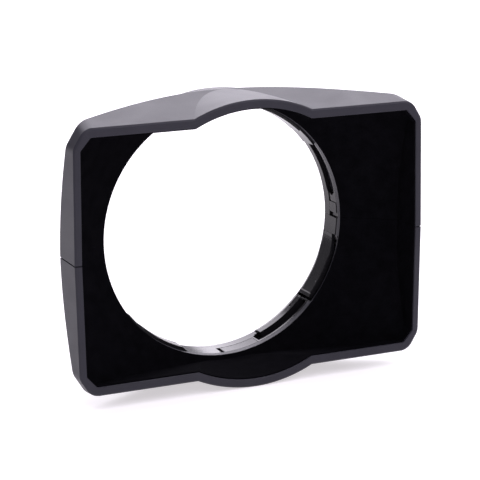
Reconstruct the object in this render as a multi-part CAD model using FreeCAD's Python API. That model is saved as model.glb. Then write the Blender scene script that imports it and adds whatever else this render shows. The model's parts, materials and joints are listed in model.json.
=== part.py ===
"""Rectangular clip-on lens hood with rounded top and bottom bulges.

Two identical moulded shells meet on a horizontal seam, the lower one being the upper one turned
half a turn about the optical axis. Each carries a half of the mounting ring, screwed on from
behind, a flock lining and one sprung latch arm that clips into the groove of the lens.

Millimetres. X is right and Z is up as seen from the front, and Y runs rearwards along the
optical axis. The origin is on the optical axis, in the middle of the lens seat.
"""
import FreeCAD
import Part

import math
import os

from FreeCAD import Vector

# ---- bore and lens seat ------------------------------------------------------------------
BORE_R = 37.5            # bore of the lip and of the mounting ring
LUG_R = 36.5             # circle of the lugs and latch arms, which grip the lens groove
LAND_BACK = 1.6          # the lug circle ends here, and a lead-in opens out behind it
LEAD_IN_SLOPE = 0.36
LOW_STEP_R = 36.85       # the last part of the fixed lug is lower
LIP_FRONT = -6.0         # front edge of the bore, where the funnel meets it
LIP_BACK = -4.1          # the mounting ring stands behind the lip
RING_OUTER_R = 38.9
SEAT_R = 38.95           # the shell's collar, which holds the ring
RING_FRONT = -4.05
FLANGE_FRONT = 3.07      # rear flange of the mounting ring
RING_BACK = 3.87
FLANGE_R = 40.1
COLLAR_R = 40.8
COLLAR_BACK_R = 40.4     # the collar is drafted from COLLAR_BEND to its rear edge
COLLAR_BEND = 0.8

# ---- shade -------------------------------------------------------------------------------
HALF_WIDTH = 53.3        # at the seam; both mouldings are drafted from there
SIDE_DRAFT = 0.0148      # loss of half width for each millimetre above or below the seam
HALF_HEIGHT = 37.2       # over the flats, at the rim
TOP_FLARE = 0.2          # rise of the top and bottom walls for each millimetre rearwards
CORNER_X = 3.3           # bevelled corner at the rim, across
CORNER_Z = 5.35          # bevelled corner at the rim, down
CORNER_ROUND = 4.2       # radius that blends the bevel into the walls
BULGE_R = 41.25          # the bulges are coaxial with the bore
RIM_Y = -26.5            # where the walls meet the bevel of the rim
RIM_BEVEL = 0.45
FACE_Y = RIM_Y - RIM_BEVEL
SIDE_WALL = 1.95
TOP_WALL = 2.55
BULGE_WALL = 2.38
INNER_CORNER_X = 3.0
INNER_CORNER_Z = 3.4
INNER_CORNER_ROUND = 0.8
FUNNEL_SLOPE = 0.74      # the funnel comes forward this much for each millimetre outwards
FUNNEL_BACK_R = 41.6     # radius of the funnel's rear surface at the depth of the lip
CORNER_REACH = 68.0      # a radius beyond the corners of the shade
LINING = 0.35            # thickness of the flock
LINING_SETBACK = 0.6     # the flock starts this far behind the face of the rim
SEAM_GAP = 0.06
SEAM_GROOVE = 0.36       # width and depth of the witness groove along the seam
SEAM_RELIEF_Y = 0.45     # half width, half height and depth of the pit where the seam crosses
SEAM_RELIEF_Z = 0.9      # the joint between lip and ring
SEAM_RELIEF_DEPTH = 1.7

# ---- places round the lower half of the bore: degrees from +X towards +Z ------------------
TONGUE_END = 6.0         # the front half of the ring's lap joint crosses the seam
HEEL_END = -1.0          # the rear half of the lap joint stops short of it
LAP_Y = 0.7              # depth at which the lap joint steps
TONGUE_GAP = 0.2         # assembly gaps: two in degrees, at the joint's front and rear half,
HEEL_GAP = 0.05
LAP_GAP = 0.1            # and one in millimetres, along the step
RELIEF_GROOVE = 0.5      # width of the groove between the tongue and the lip
RELIEF_DEPTH = 0.9
ARM_WINDOW = (-9.0, -41.8)
ARM_ROOT, ARM_TIP = -9.15, -40.4
ARM_RISE = -24.0         # the arm's face eases from the bore to the lug circle up to here
ARM_RISE_STEPS = 10
ARM_SHOULDER = (-19.0, -1.8)           # the arm's front edge is cut back from this angle to this
                                       # depth at the root
ARM_TIP_STEP = (-38.4, -39.0)          # a short ramp here leads to the lower tip of the arm
ARM_TIP_DROPS = (0.35, 0.5)            # how much lower the tip is at its start and its end
STRIP_LUG = (-42.6, -68.4)
STRIP_LUG_FRONT = -0.85
RELIEF_SLOT = (-42.6, -71.5)
HOOK = (-68.4, -70.4)                  # the relief slot reaches further back here
BEARING = (-72.3, -89.2)
SLIT = (-89.4, -90.8)
FIXED_LUG = (-107.5, -133.0, -143.0)   # ends of the full height and of the low step
NOTCH = (1.1, -0.8, -1.3)              # recess across the tongue: a wall, a floor, a slope
NOTCH_DEPTH = 0.6
CORE_SLOT = (-143.0, -171.0)
SCREW_ANGLES = (-58.0, -100.0, -150.0)

# ---- depths of the cuts in the mounting ring: front and back -------------------------------
BAR_SLOT_Y = (-3.1, STRIP_LUG_FRONT)   # the relief slot beside the narrow lug
OPEN_SLOT_Y = (-3.1, 1.05)             # and beyond it
HOOK_Y = (0.0, 1.6)
CORE_SLOT_Y = (-3.4, 1.3)
BEARING_Y = (-4.0, 0.45)
BEARING_DEPTH = 0.75
STRIP_Y = (-3.95, 0.3)
STRIP_DEPTH = 0.7
LEADER_Y = (-0.75, LAP_Y)              # shallow channel from the core slot to the lap joint
LEADER_DEPTH = 0.25

# ---- latch -------------------------------------------------------------------------------
ARM_FRONT = -4.0
ARM_BACK = 2.9
ARM_BACK_R = 38.3
POCKET_R = 39.9
KNUCKLE_POCKET_R = 40.05
PIVOT_R = 39.1
PIVOT_ANGLE = -13.0
PIVOT_PIN_R = 0.5
PIVOT_CLEARANCE = 0.03
KNUCKLE_R = 0.8
DIMPLE_R = 0.4           # ejector marks on the lug faces, each at an angle and a depth
ARM_DIMPLE = (-32.0, -3.1)
LUG_DIMPLE = (-48.6, 0.7)
KNUCKLE_FRONT = -2.4
POCKET_FRONT = -5.6      # only a thin lip of the shell is left in front of the arm
CHEEK_END = -15.6        # the shell's cheek, which holds the front of the pin, ends here
LEAF = 0.2               # thickness of the spring
LEAF_WIDTH = 4.0
LEAF_ENDS = (-19.0, -39.0)
LEAF_GAP = 0.1           # between the spring and what it rests on

# ---- fasteners ---------------------------------------------------------------------------
SCREW_CIRCLE_R = 39.45
SCREW_R = 0.45
SCREW_HEAD_R = 0.58
SCREW_HEAD = 0.3
SCREW_SLOT = 0.2         # width and depth of the driver slot
SCREW_LENGTH = 4.0
SCREW_BACK = RING_BACK - 0.05
DOWEL_X = (44.5, 49.5)
DOWEL_R = 0.6
DOWEL_LENGTH = 7.0

AXIS = Vector(0, -1, 0)  # turning about this axis takes +X towards +Z
CENTRE = Vector(0, 0, 0)
FAR = 80.0


def polar(radius, angle, y=0.0):
    """The point at this radius and angle round the optical axis."""
    a = math.radians(angle)
    return Vector(radius * math.cos(a), y, radius * math.sin(a))


def turned(shape, angle):
    """A copy turned about the optical axis."""
    copy = shape.copy()
    copy.rotate(CENTRE, AXIS, angle)
    return copy


def disc(radius, y0, y1):
    return Part.makeCylinder(radius, y1 - y0, Vector(0, y0, 0), Vector(0, 1, 0))


def sector(r0, r1, y0, y1, ends):
    """A block bent round the optical axis, between two angles."""
    low, high = min(ends), max(ends)
    corners = [Vector(r0, y0, 0), Vector(r1, y0, 0), Vector(r1, y1, 0), Vector(r0, y1, 0)]
    face = Part.Face(Part.makePolygon(corners + corners[:1]))
    return turned(face, low).revolve(CENTRE, AXIS, high - low)


def radial_box(angle, width, r0, r1, y0, y1):
    """A straight-sided box that points outwards at this angle."""
    box = Part.makeBox(r1 - r0, y1 - y0, width, Vector(r0, y0, -width / 2))
    return turned(box, angle)


def spun(profile):
    """The solid that a closed outline of (radius, y) points sweeps about the optical axis."""
    points = [Vector(r, y, 0) for r, y in profile]
    return Part.Face(Part.makePolygon(points + points[:1])).revolve(CENTRE, AXIS, 360)


# ---- the shade's outline -----------------------------------------------------------------
def rounded(points, radii, y):
    """A closed wire of straight sides at depth y, with its corners rounded to the given radii."""
    edges = []
    count = len(points)
    starts = []
    ends = []
    for i in range(count):
        here = Vector(points[i][0], y, points[i][1])
        before = Vector(points[i - 1][0], y, points[i - 1][1])
        after = Vector(points[(i + 1) % count][0], y, points[(i + 1) % count][1])
        if radii[i] == 0:
            starts.append(here)
            ends.append(here)
            continue
        u = (before - here).normalize()
        v = (after - here).normalize()
        half = u.getAngle(v) / 2
        reach = radii[i] / math.tan(half)
        middle = here + (u + v).normalize() * (radii[i] / math.sin(half) - radii[i])
        starts.append(here + u * reach)
        ends.append(here + v * reach)
        edges.append((i, Part.Arc(starts[-1], middle, ends[-1]).toShape()))
    arcs = dict(edges)
    wire = []
    for i in range(count):
        if i in arcs:
            wire.append(arcs[i])
        wire.append(Part.makeLine(ends[i], starts[(i + 1) % count]))
    return Part.Wire(wire)


def outline(y, side_inset, top_inset, corner_x, corner_z, corner_round):
    """The rectangle of the shade at depth y, with bevelled corners and a corner at each seam.

    The bevels run straight back, so they grow as the top and bottom walls rise.
    """
    rise = TOP_FLARE * (max(y, RIM_Y) - RIM_Y)
    width = HALF_WIDTH - side_inset
    low = HALF_HEIGHT - top_inset - corner_z
    edge = width - SIDE_DRAFT * low
    across = corner_x * (corner_z + rise) / corner_z
    quarter = [(edge, low), (edge - across, low + corner_z + rise)]
    upper = quarter + [(-x, z) for x, z in reversed(quarter)]
    points = [(width, 0.0)] + upper + [(-width, 0.0)] + [(-x, -z) for x, z in upper]
    radii = [0.0] + [corner_round] * 4 + [0.0] + [corner_round] * 4
    return rounded(points, radii, y)


def funnel_limit(radius_at_lip, shift=0.0):
    """Everything in front of a cone that comes forward as it opens out from the lip."""
    front = FACE_Y - 5.0
    lip = LIP_FRONT - shift
    edge = lip - FUNNEL_SLOPE * (CORNER_REACH - radius_at_lip)
    return spun([(0, front), (CORNER_REACH, front), (CORNER_REACH, edge),
                 (radius_at_lip, lip), (0, lip)])


def outside():
    """The outer form of both shells together, still solid."""
    args = (CORNER_X, CORNER_Z, CORNER_ROUND)
    rim = outline(FACE_Y, RIM_BEVEL, RIM_BEVEL, *args)
    front = outline(RIM_Y, 0, 0, *args)
    back = outline(LIP_FRONT + 3, 0, 0, *args)
    bevel = Part.makeLoft([rim, front], True, True)
    walls = Part.makeLoft([front, back], True, True)
    bulge_bevel = Part.makeCone(BULGE_R - RIM_BEVEL, BULGE_R, RIM_BEVEL,
                                Vector(0, FACE_Y, 0), Vector(0, 1, 0))
    bulge = disc(BULGE_R, RIM_Y, LIP_FRONT + 3)
    shade = bevel.fuse([walls, bulge_bevel, bulge])
    shade = shade.common(funnel_limit(FUNNEL_BACK_R))
    collar = disc(COLLAR_R, LIP_FRONT - 2, COLLAR_BEND)
    draft = Part.makeCone(COLLAR_R, COLLAR_BACK_R, FLANGE_FRONT - COLLAR_BEND,
                          Vector(0, COLLAR_BEND, 0), Vector(0, 1, 0))
    return shade.fuse([collar, draft]).removeSplitter()


def cavity(inset):
    """The space inside the shade, in front of the funnel, drawn in by inset all round."""
    side = SIDE_WALL + inset
    top = TOP_WALL + inset
    args = (INNER_CORNER_X, INNER_CORNER_Z, INNER_CORNER_ROUND)
    front = outline(RIM_Y, side, top, *args)
    mouth = front.copy()
    mouth.translate(Vector(0, FACE_Y - 3 - RIM_Y, 0))
    back = outline(LIP_FRONT + 3, side, top, *args)
    space = Part.makeLoft([mouth, front], True, True)
    space = space.fuse(Part.makeLoft([front, back], True, True))
    space = space.fuse(disc(BULGE_R - BULGE_WALL - inset, FACE_Y - 3, LIP_FRONT + 3))
    slant = math.hypot(1, FUNNEL_SLOPE)
    return space.common(funnel_limit(BORE_R, inset * slant)).removeSplitter()


def seam_relief():
    """The pit on +X, where the seam crosses the joint between lip and ring."""
    corner = Vector(BORE_R - 1, LIP_BACK - SEAM_RELIEF_Y, -SEAM_RELIEF_Z)
    return Part.makeBox(1 + SEAM_RELIEF_DEPTH, 2 * SEAM_RELIEF_Y, 2 * SEAM_RELIEF_Z, corner)


def half_space(z0):
    """Everything above this height."""
    return Part.makeBox(2 * FAR, 2 * FAR, FAR, Vector(-FAR, -FAR, z0))


# ---- shells and linings, drawn as the upper half --------------------------------------------
def shell():
    """One moulding: walls, rim, bulge, funnel and a half of the collar. Drawn as the upper."""
    body = outside().cut(cavity(0))
    body = body.cut(disc(BORE_R, FACE_Y - 3, RING_BACK + 1))
    body = body.cut(disc(SEAT_R, LIP_BACK, RING_BACK + 1))
    for side in (-1, 1):
        edge = side * HALF_WIDTH
        body = body.cut(Part.makeBox(2 * SEAM_GROOVE, FAR, SEAM_GROOVE,
                                     Vector(edge - SEAM_GROOVE, FACE_Y - 1, -SEAM_GROOVE / 2)))
        body = body.cut(Part.makeBox(8, 1 + SEAM_GROOVE, SEAM_GROOVE,
                                     Vector(edge - 4, FACE_Y - 1, -SEAM_GROOVE / 2)))
    for angle in (0, 180):
        body = body.cut(turned(seam_relief(), angle))
    body = body.common(half_space(SEAM_GAP / 2))
    for cut in latch_pocket():
        body = body.cut(turned(cut, 180))
    for angle in SCREW_ANGLES:
        hole = screw_body(0.02)
        body = body.cut(turned(hole, angle + 180))
    for x in DOWEL_X:
        for side in (-1, 1):
            body = body.cut(dowel(side * x, 0.01))
    return body.removeSplitter()


def latch_pocket():
    """What the shell gives up to the latch arm, its spring and its pivot, on the lower half."""
    start, end = ARM_WINDOW
    back = FLANGE_FRONT + 1
    swing = sector(LUG_R, POCKET_R, POCKET_FRONT, back, (CHEEK_END, end))
    knuckle = sector(LUG_R, KNUCKLE_POCKET_R, KNUCKLE_FRONT - 0.2, back, (start, CHEEK_END))
    recess = sector(LUG_R, ARM_BACK_R + 0.2, POCKET_FRONT, back, (start, CHEEK_END))
    return [swing, knuckle, recess, latch_pin(0.01)]


def flock_lining():
    """The flocked light trap on the funnel and inside the walls, drawn as the upper half."""
    skin = cavity(0).cut(cavity(LINING))
    skin = skin.cut(disc(BORE_R, FACE_Y - 3, 0))
    skin = skin.common(half_space(SEAM_GAP / 2))
    keep = Part.makeBox(2 * FAR, FAR, FAR, Vector(-FAR, FACE_Y + LINING_SETBACK, 0))
    skin = skin.common(keep)
    return max(skin.Solids, key=lambda solid: solid.Volume)


# ---- ring and latch, drawn as the lower half, whose latch is on the right --------------------
def bent_plate(face, back_r, y0, y1):
    """A plate bent round the optical axis, from the (angle, radius) points of its inner face."""
    first, last = face[0][0], face[-1][0]
    points = face + [(last, back_r), (first, back_r), face[0]]
    edges = []
    for (angle, radius), (next_angle, next_radius) in zip(points, points[1:]):
        here = polar(radius, angle)
        there = polar(next_radius, next_angle)
        if angle == next_angle:
            edges.append(Part.makeLine(here, there))
        else:
            middle = polar((radius + next_radius) / 2, (angle + next_angle) / 2)
            edges.append(Part.Arc(here, middle, there).toShape())
    plate = Part.Face(Part.Wire(edges)).extrude(Vector(0, y1 - y0, 0))
    plate.translate(Vector(0, y0, 0))
    return plate


def dimple(angle, y):
    """The ball that marks a lug face at this place."""
    return Part.makeSphere(DIMPLE_R, polar(LUG_R - DIMPLE_R / 4, angle, y))


def lead_in():
    """The cone behind the lug circle that lets the lens in."""
    depth = RING_BACK + 1 - LAND_BACK
    return Part.makeCone(LUG_R, LUG_R + LEAD_IN_SLOPE * depth, depth, Vector(0, LAND_BACK, 0),
                         Vector(0, 1, 0))


def strip_lug():
    """The narrow lug that stands on the bar behind the relief slot."""
    return sector(LUG_R, BORE_R + 0.5, STRIP_LUG_FRONT, RING_BACK, STRIP_LUG)


def fixed_lug():
    """The long lug opposite the latch arm, with a low step at its end."""
    start, step, end = FIXED_LUG
    ramp = 3.5
    face = [(start, BORE_R), (start - ramp, LUG_R), (step, LUG_R), (step, LOW_STEP_R),
            (end, LOW_STEP_R)]
    return bent_plate(face, BORE_R + 0.5, RING_FRONT, RING_BACK)


def window(ends, y0, y1, round_first=False):
    """A slot through the mounting ring; its first end may be rounded."""
    slot = sector(BORE_R - 2, RING_OUTER_R + 0.5, y0, y1, ends)
    if not round_first:
        return slot
    radius = (y1 - y0) / 2
    end = Part.makeCylinder(radius, 4, Vector(BORE_R - 2, (y0 + y1) / 2, 0), Vector(1, 0, 0))
    nearest = math.degrees(radius / BORE_R)
    first, last = ends
    inwards = math.copysign(nearest, last - first)
    body = sector(BORE_R - 2, RING_OUTER_R + 0.5, y0, y1, (first + inwards, last))
    return body.fuse(turned(end, first + inwards))


def tongue_cuts():
    """The gap behind the tongue, the grooves beside it and the recess across it."""
    over = (TONGUE_END + 1, HEEL_END - HEEL_GAP)
    inner, outer = BORE_R - 2, RING_OUTER_R + 0.5
    wall, foot, end = NOTCH
    floor = BORE_R + NOTCH_DEPTH
    notch = [(wall, BORE_R - 1), (end, BORE_R - 1), (end, BORE_R), (foot, floor), (wall, floor)]
    corners = [polar(radius, angle, RING_FRONT - 0.1) for angle, radius in notch]
    slope = Part.Face(Part.makePolygon(corners + corners[:1]))
    leader = (CORE_SLOT[1] + 1.5, TONGUE_END - 180)
    return [
        seam_relief(),
        sector(inner, BORE_R + LEADER_DEPTH, *LEADER_Y, leader),
        sector(inner, outer, LAP_Y - LAP_GAP, LAP_Y, over),
        sector(inner, BORE_R + RELIEF_DEPTH, RING_FRONT - 1, RING_FRONT + RELIEF_GROOVE,
               (TONGUE_END + 1, ARM_WINDOW[0])),
        slope.extrude(Vector(0, LAP_Y - LAP_GAP - RING_FRONT + 0.1, 0)),
    ]


def mount_ring():
    """The lower half of the glossy mounting ring."""
    front_ends = (TONGUE_END - TONGUE_GAP, TONGUE_END - 180 + TONGUE_GAP)
    back_ends = (HEEL_END - HEEL_GAP, HEEL_END - 180 + HEEL_GAP)
    ring = sector(BORE_R, RING_OUTER_R, RING_FRONT, LAP_Y, front_ends)
    ring = ring.fuse([
        sector(BORE_R, RING_OUTER_R, LAP_Y, RING_BACK, back_ends),
        sector(BORE_R, FLANGE_R, FLANGE_FRONT, RING_BACK, back_ends),
    ])
    ring = ring.fuse([strip_lug(), fixed_lug()])
    cuts = [
        lead_in(),
        sector(BORE_R - 2, RING_OUTER_R + 0.5, LIP_BACK - 1, FLANGE_FRONT, ARM_WINDOW),
        window((RELIEF_SLOT[0], STRIP_LUG[1]), *BAR_SLOT_Y),
        window((STRIP_LUG[1], RELIEF_SLOT[1]), *OPEN_SLOT_Y),
        window(HOOK, *HOOK_Y),
        window((CORE_SLOT[1], CORE_SLOT[0]), *CORE_SLOT_Y, round_first=True),
        sector(BORE_R - 2, BORE_R + BEARING_DEPTH, *BEARING_Y, BEARING),
        window(SLIT, *BEARING_Y),
        latch_pin(0.01),
    ]
    cuts += tongue_cuts()
    cuts += [turned(screw_body(0.02), angle) for angle in SCREW_ANGLES]
    for cut in cuts:
        ring = ring.cut(cut)
    return ring.cut(dimple(*LUG_DIMPLE)).removeSplitter()


def bearing_strip():
    """The inlaid strip that the lens barrel bears on, flush with the bore."""
    low, high = BEARING[1], BEARING[0]
    margin = 0.12
    return sector(BORE_R, BORE_R + STRIP_DEPTH, *STRIP_Y, (low + margin, high - margin))


def shoulder_cut():
    """The front corner that the latch arm loses at its root."""
    angle, depth = ARM_SHOULDER
    front = ARM_FRONT - 0.5
    low = polar(LUG_R, angle)
    root = polar(BORE_R, ARM_ROOT)
    above = root.z + 1
    places = [(above, front), (low.z, front), (low.z, ARM_FRONT), (root.z, depth), (above, depth)]
    corners = [Vector(low.x - 1, y, z) for z, y in places]
    face = Part.Face(Part.makePolygon(corners + corners[:1]))
    return face.extrude(Vector(BORE_R + 1 - low.x, 0, 0))


def arm_rise():
    """The (angle, radius) points of the smooth rise from the lug circle to the bore."""
    points = []
    for step in range(ARM_RISE_STEPS + 1):
        part = step / ARM_RISE_STEPS
        angle = ARM_RISE + part * (ARM_ROOT - ARM_RISE)
        lift = (1 - math.cos(math.pi * part)) / 2
        points.append((angle, LUG_R + lift * (BORE_R - LUG_R)))
    return points


def latch_arm():
    """The sprung arm beside the seam, hung on its pin, whose face is part of the lug circle."""
    step, foot = ARM_TIP_STEP
    start, end = ARM_TIP_DROPS
    face = [(ARM_TIP, LUG_R + end), (foot, LUG_R + start), (step, LUG_R)] + arm_rise()
    arm = bent_plate(face, ARM_BACK_R, ARM_FRONT, ARM_BACK)
    depth = ARM_BACK - KNUCKLE_FRONT
    pivot = polar(PIVOT_R, PIVOT_ANGLE, KNUCKLE_FRONT)
    knuckle = Part.makeCylinder(KNUCKLE_R, depth, pivot, Vector(0, 1, 0))
    web = radial_box(PIVOT_ANGLE, 2 * KNUCKLE_R, ARM_BACK_R - 0.5, PIVOT_R,
                     KNUCKLE_FRONT, ARM_BACK)
    arm = arm.fuse([knuckle, web])
    hole = Part.makeCylinder(PIVOT_PIN_R + PIVOT_CLEARANCE, depth, pivot, Vector(0, 1, 0))
    return arm.cut([hole, shoulder_cut(), dimple(*ARM_DIMPLE), lead_in()]).removeSplitter()


def latch_pin(clearance=0.0):
    """The steel pin of the latch arm, along the optical axis."""
    front = POCKET_FRONT + 0.3
    length = RING_BACK - 0.05 - front + 4 * clearance
    start = polar(PIVOT_R, PIVOT_ANGLE, front - 2 * clearance)
    return Part.makeCylinder(PIVOT_PIN_R + clearance, length, start, Vector(0, 1, 0))


def latch_spring():
    """The bowed leaf between the latch arm and the floor of its pocket."""
    first, last = LEAF_ENDS
    middle = (first + last) / 2
    floor = POCKET_R - LEAF_GAP
    crown = ARM_BACK_R + LEAF_GAP
    wire = Part.Wire([
        Part.Arc(polar(floor, first), polar(crown + LEAF, middle), polar(floor, last)).toShape(),
        Part.makeLine(polar(floor, last), polar(floor - LEAF, last + 0.2)),
        Part.Arc(polar(floor - LEAF, last + 0.2), polar(crown, middle),
                 polar(floor - LEAF, first - 0.2)).toShape(),
        Part.makeLine(polar(floor - LEAF, first - 0.2), polar(floor, first)),
    ])
    leaf = Part.Face(wire).extrude(Vector(0, LEAF_WIDTH, 0))
    leaf.translate(Vector(0, -LEAF_WIDTH / 2, 0))
    return leaf


# ---- fasteners, on +X ----------------------------------------------------------------------
def screw_body(clearance=0.0):
    """A countersunk screw of the mounting ring, with its head in the rear flange."""
    tip = Vector(SCREW_CIRCLE_R, SCREW_BACK - SCREW_LENGTH, 0)
    neck = Vector(SCREW_CIRCLE_R, SCREW_BACK - SCREW_HEAD, 0)
    shank = Part.makeCylinder(SCREW_R + clearance, SCREW_LENGTH, tip, Vector(0, 1, 0))
    head = Part.makeCone(SCREW_R + clearance, SCREW_HEAD_R + clearance, SCREW_HEAD, neck,
                         Vector(0, 1, 0))
    body = shank.fuse(head)
    if clearance:
        end = Vector(SCREW_CIRCLE_R, SCREW_BACK, 0)
        mouth = Part.makeCylinder(SCREW_HEAD_R + clearance, 1, end, Vector(0, 1, 0))
        body = body.fuse(mouth)
    return body


def ring_screws():
    """The screws of the lower ring half, each with a driver slot."""
    slot = Part.makeBox(2 * SCREW_HEAD_R, 1, SCREW_SLOT,
                        Vector(SCREW_CIRCLE_R - SCREW_HEAD_R, SCREW_BACK - SCREW_SLOT,
                               -SCREW_SLOT / 2))
    screw = screw_body().cut(slot)
    return Part.makeCompound([turned(screw, angle) for angle in SCREW_ANGLES])


def dowel(x, clearance=0.0):
    """A steel dowel across the seam, in the middle of the funnel's wall."""
    radius = abs(x)
    inner = LIP_FRONT - FUNNEL_SLOPE * (radius - BORE_R)
    outer = LIP_FRONT - FUNNEL_SLOPE * (radius - FUNNEL_BACK_R)
    length = DOWEL_LENGTH + 4 * clearance
    return Part.makeCylinder(DOWEL_R + clearance, length,
                             Vector(x, (inner + outer) / 2, -length / 2), Vector(0, 0, 1))


def seam_dowels(side):
    return Part.makeCompound([dowel(side * x) for x in DOWEL_X])


# ---- write the nodes ---------------------------------------------------------------------
def write(name, shape):
    for solid in shape.Solids:
        if not solid.isValid():
            raise ValueError(name + " is not a valid solid")
    shape.exportStep("parts/" + name + ".step")
    print("%-22s %d solid(s) %9.1f mm3" % (name, len(shape.Solids), shape.Volume))


def main():
    os.makedirs("parts", exist_ok=True)
    upper = shell()
    write("upper_shell", upper)
    write("lower_shell", turned(upper, 180))
    lining = flock_lining()
    write("upper_flock_lining", lining)
    write("lower_flock_lining", turned(lining, 180))
    halves = {
        "mount_ring": mount_ring(),
        "bearing_strip": bearing_strip(),
        "ring_screws": ring_screws(),
    }
    for name, shape in halves.items():
        write("lower_" + name, shape)
        write("upper_" + name, turned(shape, 180))
    latch = {
        "latch_arm": latch_arm(),
        "latch_pin": latch_pin(),
        "latch_spring": latch_spring(),
    }
    for name, shape in latch.items():
        write("right_" + name, shape)
        write("left_" + name, turned(shape, 180))
    write("right_seam_dowels", seam_dowels(1))
    write("left_seam_dowels", seam_dowels(-1))


main()
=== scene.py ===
"""Looks of the lens hood: moulded plastic, flock and steel, on a pale floor in a soft studio.

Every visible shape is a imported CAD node, so this script makes only materials, light, floor and
camera. All lengths are in metres, in the frame of the CAD model.
"""

import json
import math

import bpy
from mathutils import Matrix, Vector


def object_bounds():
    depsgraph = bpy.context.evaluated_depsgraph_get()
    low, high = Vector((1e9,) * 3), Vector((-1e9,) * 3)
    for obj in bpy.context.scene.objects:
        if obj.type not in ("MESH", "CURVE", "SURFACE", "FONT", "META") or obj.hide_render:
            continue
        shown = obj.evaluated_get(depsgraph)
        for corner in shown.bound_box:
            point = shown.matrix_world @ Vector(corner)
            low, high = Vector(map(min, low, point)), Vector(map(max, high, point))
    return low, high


# ---- camera, seen from the front left and slightly above ----------------------------------
CAMERA_AZIMUTH = -24.53
CAMERA_ELEVATION = 13.82
CAMERA_ROLL = -0.45
CAMERA_DISTANCE = 0.530
CAMERA_AIM = Vector((0.00766, 0.00046, -0.00518))
LENS = 134.77
SENSOR = 36.0

# ---- studio ------------------------------------------------------------------------------
FLOOR_SIZE = 8.0
FLOOR_CLOUD = 0.35           # size of the floor's faint unevenness
FLOOR_GLOW = 0.585           # the floor is a light table, which keeps the shadow faint
FLOOR_GLOW_COLOUR = (1.0, 0.957, 0.988, 1.0)
WORLD_GREY = 0.20
TINT = (1.0, 0.958, 1.055)   # all the light is faintly violet
LAMP_POWER = 4.0             # watts for each square metre of a softbox of strength 1

# ---- surfaces, by the size of their features -----------------------------------------------
MOTTLE = 0.009               # the moulded plastics: patches of tone, fine specks of tone,
SPECKLE = 0.0006
SMEAR = 0.014                # and patches of gloss
SMEAR_STRETCH = (1, 1, 2.2)
GLOSS_SPREAD = 0.025         # how far the roughness strays from its middle
EDGE_ROUND = 0.00018
WORN_LIGHTER = 1.5           # a rubbed edge against the lightest of the plastic
WORN_COVER = 0.5
FLOCK_CLUMP = 0.0035
FLOCK_FIBRE = 0.00016
FLOCK_DEPTH = 0.0001
STEEL_EDGE_ROUND = 0.00006
TOOL_MARK = 0.00025
TOOL_MARK_DEPTH = 0.000008
STEEL_STAIN = 0.0016

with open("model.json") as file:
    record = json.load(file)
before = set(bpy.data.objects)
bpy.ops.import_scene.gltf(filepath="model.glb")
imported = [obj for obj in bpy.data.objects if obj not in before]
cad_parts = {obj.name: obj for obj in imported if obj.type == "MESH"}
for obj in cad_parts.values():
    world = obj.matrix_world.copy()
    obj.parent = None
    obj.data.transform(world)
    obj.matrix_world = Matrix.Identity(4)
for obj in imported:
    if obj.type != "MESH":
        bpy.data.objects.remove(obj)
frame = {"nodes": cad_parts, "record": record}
cad_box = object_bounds()


def direction(azimuth, elevation):
    """The way from the object to something at this azimuth and elevation, in degrees.

    Azimuth 0 is in front of the object, and 180 behind it.
    """
    a = math.radians(azimuth)
    e = math.radians(elevation)
    return Vector((math.sin(a) * math.cos(e), -math.cos(a) * math.cos(e), math.sin(e)))


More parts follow.
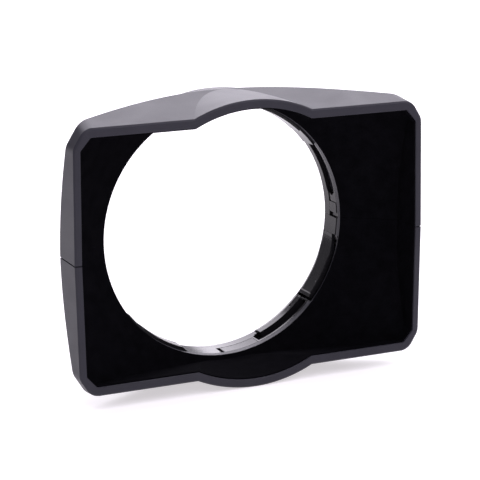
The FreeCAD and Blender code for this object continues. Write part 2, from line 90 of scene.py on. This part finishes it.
# ---- node helpers --------------------------------------------------------------------------
class Nodes:
    """A material and short ways to add nodes to it."""

    def __init__(self, name):
        self.material = bpy.data.materials.new(name)
        self.material.use_nodes = True
        self.tree = self.material.node_tree
        self.shader = self.tree.nodes["Principled BSDF"]
        self.place = self.add("ShaderNodeTexCoord").outputs["Object"]

    def add(self, kind, **settings):
        node = self.tree.nodes.new(kind)
        for name, value in settings.items():
            setattr(node, name, value)
        return node

    def link(self, source, target):
        self.tree.links.new(source, target)

    def set(self, **values):
        """Sets constants on the shader's own sockets, by name with _ for a space."""
        for name, value in values.items():
            self.shader.inputs[name.replace("_", " ")].default_value = value

    def noise(self, size, detail, stretch=(1, 1, 1), distortion=0.0):
        """Noise whose features are about this many metres across."""
        mapping = self.add("ShaderNodeMapping")
        mapping.inputs["Scale"].default_value = stretch
        self.link(self.place, mapping.inputs["Vector"])
        node = self.add("ShaderNodeTexNoise")
        node.inputs["Scale"].default_value = 1 / size
        node.inputs["Detail"].default_value = detail
        node.inputs["Distortion"].default_value = distortion
        self.link(mapping.outputs["Vector"], node.inputs["Vector"])
        return node.outputs["Fac"]

    def ramp(self, source, low, high, start=0.0, end=1.0):
        """source from start to end becomes a number from low to high."""
        node = self.add("ShaderNodeMapRange")
        node.inputs["From Min"].default_value = start
        node.inputs["From Max"].default_value = end
        node.inputs["To Min"].default_value = low
        node.inputs["To Max"].default_value = high
        self.link(source, node.inputs["Value"])
        return node.outputs["Result"]

    def math(self, operation, a, b):
        """a and b, each a number or an output, put together by a maths node."""
        node = self.add("ShaderNodeMath", operation=operation)
        for socket, value in zip(node.inputs, (a, b)):
            if isinstance(value, (int, float)):
                socket.default_value = value
            else:
                self.link(value, socket)
        return node.outputs["Value"]

    def mix(self, factor, a, b):
        """A colour between a and b, each a colour or an output."""
        node = self.add("ShaderNodeMix", data_type="RGBA")
        self.link(factor, node.inputs["Factor"])
        ends = [socket for socket in node.inputs if socket.type == "RGBA"]
        for socket, value in zip(ends, (a, b)):
            if isinstance(value, tuple):
                socket.default_value = (*value, 1.0)
            else:
                self.link(value, socket)
        return next(socket for socket in node.outputs if socket.type == "RGBA")

    def bump(self, height, distance, normal=None):
        """A normal tilted by height, whose full range is distance metres."""
        node = self.add("ShaderNodeBump")
        node.inputs["Strength"].default_value = 1.0
        node.inputs["Distance"].default_value = distance
        self.link(height, node.inputs["Height"])
        if normal is not None:
            self.link(normal, node.inputs["Normal"])
        return node.outputs["Normal"]

    def rounded(self, radius):
        """A normal that rounds sharp edges, and how far it turns from the flat one."""
        bevel = self.add("ShaderNodeBevel", samples=6)
        bevel.inputs["Radius"].default_value = radius
        flat = self.add("ShaderNodeNewGeometry").outputs["Normal"]
        dot = self.add("ShaderNodeVectorMath", operation="DOT_PRODUCT")
        self.link(bevel.outputs["Normal"], dot.inputs[0])
        self.link(flat, dot.inputs[1])
        edge = self.ramp(dot.outputs["Value"], 1.0, 0.0, 0.80, 0.999)
        return bevel.outputs["Normal"], edge

    def colour(self, source):
        self.link(source, self.shader.inputs["Base Color"])

    def roughness(self, source):
        self.link(source, self.shader.inputs["Roughness"])

    def normal(self, source):
        self.link(source, self.shader.inputs["Normal"])


# ---- materials -----------------------------------------------------------------------------
def moulded_plastic(name, dark, light, rough, edge_rough, grain_size, grain_depth, ior):
    """Black moulded plastic: fine grain, a faint mottle, and edges rubbed a little smoother."""
    n = Nodes(name)
    rounded, edge = n.rounded(EDGE_ROUND)
    mottle = n.noise(MOTTLE, 4.0)
    speckle = n.noise(SPECKLE, 2.0)
    tone = n.math("ADD", n.math("MULTIPLY", mottle, 0.7), n.math("MULTIPLY", speckle, 0.3))
    body = n.mix(n.ramp(tone, 0, 1, 0.3, 0.7), dark, light)
    worn = tuple(WORN_LIGHTER * c for c in light)
    n.colour(n.mix(n.math("MULTIPLY", edge, WORN_COVER), body, worn))
    smear = n.noise(SMEAR, 3.0, SMEAR_STRETCH, distortion=0.6)
    spread = n.ramp(smear, rough - GLOSS_SPREAD, rough + GLOSS_SPREAD, 0.3, 0.7)
    n.roughness(n.math("SUBTRACT", spread, n.math("MULTIPLY", edge, rough - edge_rough)))
    grain = n.noise(grain_size, 3.0)
    n.normal(n.bump(grain, grain_depth, rounded))
    n.set(IOR=ior)
    return n.material


def shell_plastic():
    """Satin, with a fine spark-eroded texture."""
    return moulded_plastic("shell_plastic", (0.0285, 0.0275, 0.0355), (0.0350, 0.0340, 0.0435),
                           rough=0.43, edge_rough=0.36,
                           grain_size=0.00022, grain_depth=0.000012, ior=1.22)


def ring_plastic():
    return moulded_plastic("ring_plastic", (0.0080, 0.0078, 0.0092), (0.0115, 0.0112, 0.0130),
                           rough=0.20, edge_rough=0.15,
                           grain_size=0.00045, grain_depth=0.000006, ior=1.28)


def latch_plastic():
    return moulded_plastic("latch_plastic", (0.0085, 0.0083, 0.0100), (0.0125, 0.0120, 0.0142),
                           rough=0.27, edge_rough=0.20,
                           grain_size=0.00040, grain_depth=0.000007, ior=1.44)


def strip_plastic():
    return moulded_plastic("strip_plastic", (0.0100, 0.0098, 0.0112), (0.0140, 0.0136, 0.0152),
                           rough=0.24, edge_rough=0.18,
                           grain_size=0.00035, grain_depth=0.000006, ior=1.23)


def flock():
    """Short black fibres that stand on end, so the surface swallows light."""
    n = Nodes("flock")
    clumps = n.noise(FLOCK_CLUMP, 4.0)
    fibres = n.noise(FLOCK_FIBRE, 3.0)
    tone = n.math("ADD", n.math("MULTIPLY", clumps, 0.5), n.math("MULTIPLY", fibres, 0.5))
    n.colour(n.mix(n.ramp(tone, 0, 1, 0.35, 0.65), (0.0024, 0.0023, 0.0030),
                   (0.0050, 0.0048, 0.0062)))
    n.roughness(n.ramp(clumps, 0.86, 0.98, 0.3, 0.7))
    n.normal(n.bump(fibres, FLOCK_DEPTH))
    n.set(IOR=1.03)
    return n.material


def turned_steel(name, dark, light, stretch):
    """Steel with fine tool marks along one direction and a little oil staining."""
    n = Nodes(name)
    rounded, edge = n.rounded(STEEL_EDGE_ROUND)
    marks = n.noise(TOOL_MARK, 3.0, stretch)
    stain = n.noise(STEEL_STAIN, 3.0)
    metal = n.mix(n.ramp(marks, 0, 1, 0.3, 0.7), dark, light)
    oiled = tuple(0.5 * c for c in dark)
    n.colour(n.mix(n.ramp(stain, 0, 0.4, 0.5, 0.8), metal, oiled))
    spread = n.ramp(stain, 0.26, 0.42, 0.3, 0.7)
    n.roughness(n.math("SUBTRACT", spread, n.math("MULTIPLY", edge, 0.08)))
    n.normal(n.bump(marks, TOOL_MARK_DEPTH, rounded))
    n.set(Metallic=1.0)
    return n.material


def floor_paint():
    """The plain pale floor, with the slightest unevenness."""
    n = Nodes("pale_floor")
    cloud = n.noise(FLOOR_CLOUD, 3.0)
    n.colour(n.mix(cloud, (0.640, 0.635, 0.645), (0.650, 0.645, 0.655)))
    n.roughness(n.ramp(cloud, 0.55, 0.65))
    n.set(Specular_IOR_Level=0.2, Emission_Color=FLOOR_GLOW_COLOUR, Emission_Strength=FLOOR_GLOW)
    return n.material


def dress(finishes):
    """Gives each CAD node the material of its slot in the record."""
    for part in frame["record"]["subparts"]:
        node = frame["nodes"][part["node"]]
        node.data.materials.clear()
        node.data.materials.append(finishes[part["material_slot"]])


# ---- studio --------------------------------------------------------------------------------
def make_floor():
    half = FLOOR_SIZE / 2
    z = cad_box[0].z
    corners = [(-half, -half, z), (half, -half, z), (half, half, z), (-half, half, z)]
    mesh = bpy.data.meshes.new("floor")
    mesh.from_pydata(corners, [], [(0, 1, 2, 3)])
    mesh.materials.append(floor_paint())
    floor = bpy.data.objects.new("floor", mesh)
    bpy.context.scene.collection.objects.link(floor)


def softbox(name, azimuth, elevation, distance, width, height, strength):
    """A soft rectangular light that faces the object."""
    data = bpy.data.lights.new(name, "AREA")
    data.shape = "RECTANGLE"
    data.size = width
    data.size_y = height
    data.energy = strength * LAMP_POWER * width * height
    data.color = TINT
    light = bpy.data.objects.new(name, data)
    towards = direction(azimuth, elevation)
    light.location = towards * distance
    light.rotation_mode = "QUATERNION"
    light.rotation_quaternion = towards.to_track_quat("Z", "Y")
    light.visible_camera = False
    bpy.context.scene.collection.objects.link(light)


def make_light():
    world = bpy.data.worlds.new("studio")
    world.use_nodes = True
    background = world.node_tree.nodes["Background"]
    background.inputs["Color"].default_value = (*TINT, 1)
    background.inputs["Strength"].default_value = WORLD_GREY
    bpy.context.scene.world = world
    softbox("overhead", azimuth=40, elevation=66, distance=1.0,
            width=1.9, height=1.4, strength=1.5)
    softbox("rear", azimuth=163, elevation=31.5, distance=1.8,
            width=1.5, height=1.5, strength=3.65)
    bpy.context.scene.view_settings.view_transform = "Standard"


def make_camera():
    data = bpy.data.cameras.new("camera")
    data.sensor_width = SENSOR
    data.lens = LENS
    data.clip_start = 0.01
    data.clip_end = 50
    camera = bpy.data.objects.new("camera", data)
    back = direction(CAMERA_AZIMUTH, CAMERA_ELEVATION)
    right = (-back).cross(Vector((0, 0, 1))).normalized()
    up = right.cross(-back)
    turn = Matrix((right, up, back)).transposed().to_4x4()
    roll = Matrix.Rotation(math.radians(CAMERA_ROLL), 4, "Z")
    camera.matrix_world = Matrix.Translation(CAMERA_AIM + back * CAMERA_DISTANCE) @ turn @ roll
    bpy.context.scene.collection.objects.link(camera)
    bpy.context.scene.camera = camera


dress({
    "shell": shell_plastic(),
    "flock": flock(),
    "ring": ring_plastic(),
    "strip": strip_plastic(),
    "latch": latch_plastic(),
    "steel": turned_steel("turned_steel", (0.30, 0.30, 0.31), (0.50, 0.50, 0.50), (1, 6, 1)),
    "spring_steel": turned_steel("spring_steel", (0.38, 0.37, 0.35), (0.55, 0.54, 0.52),
                                 (1, 1, 6)),
})
make_floor()
make_light()
make_camera()
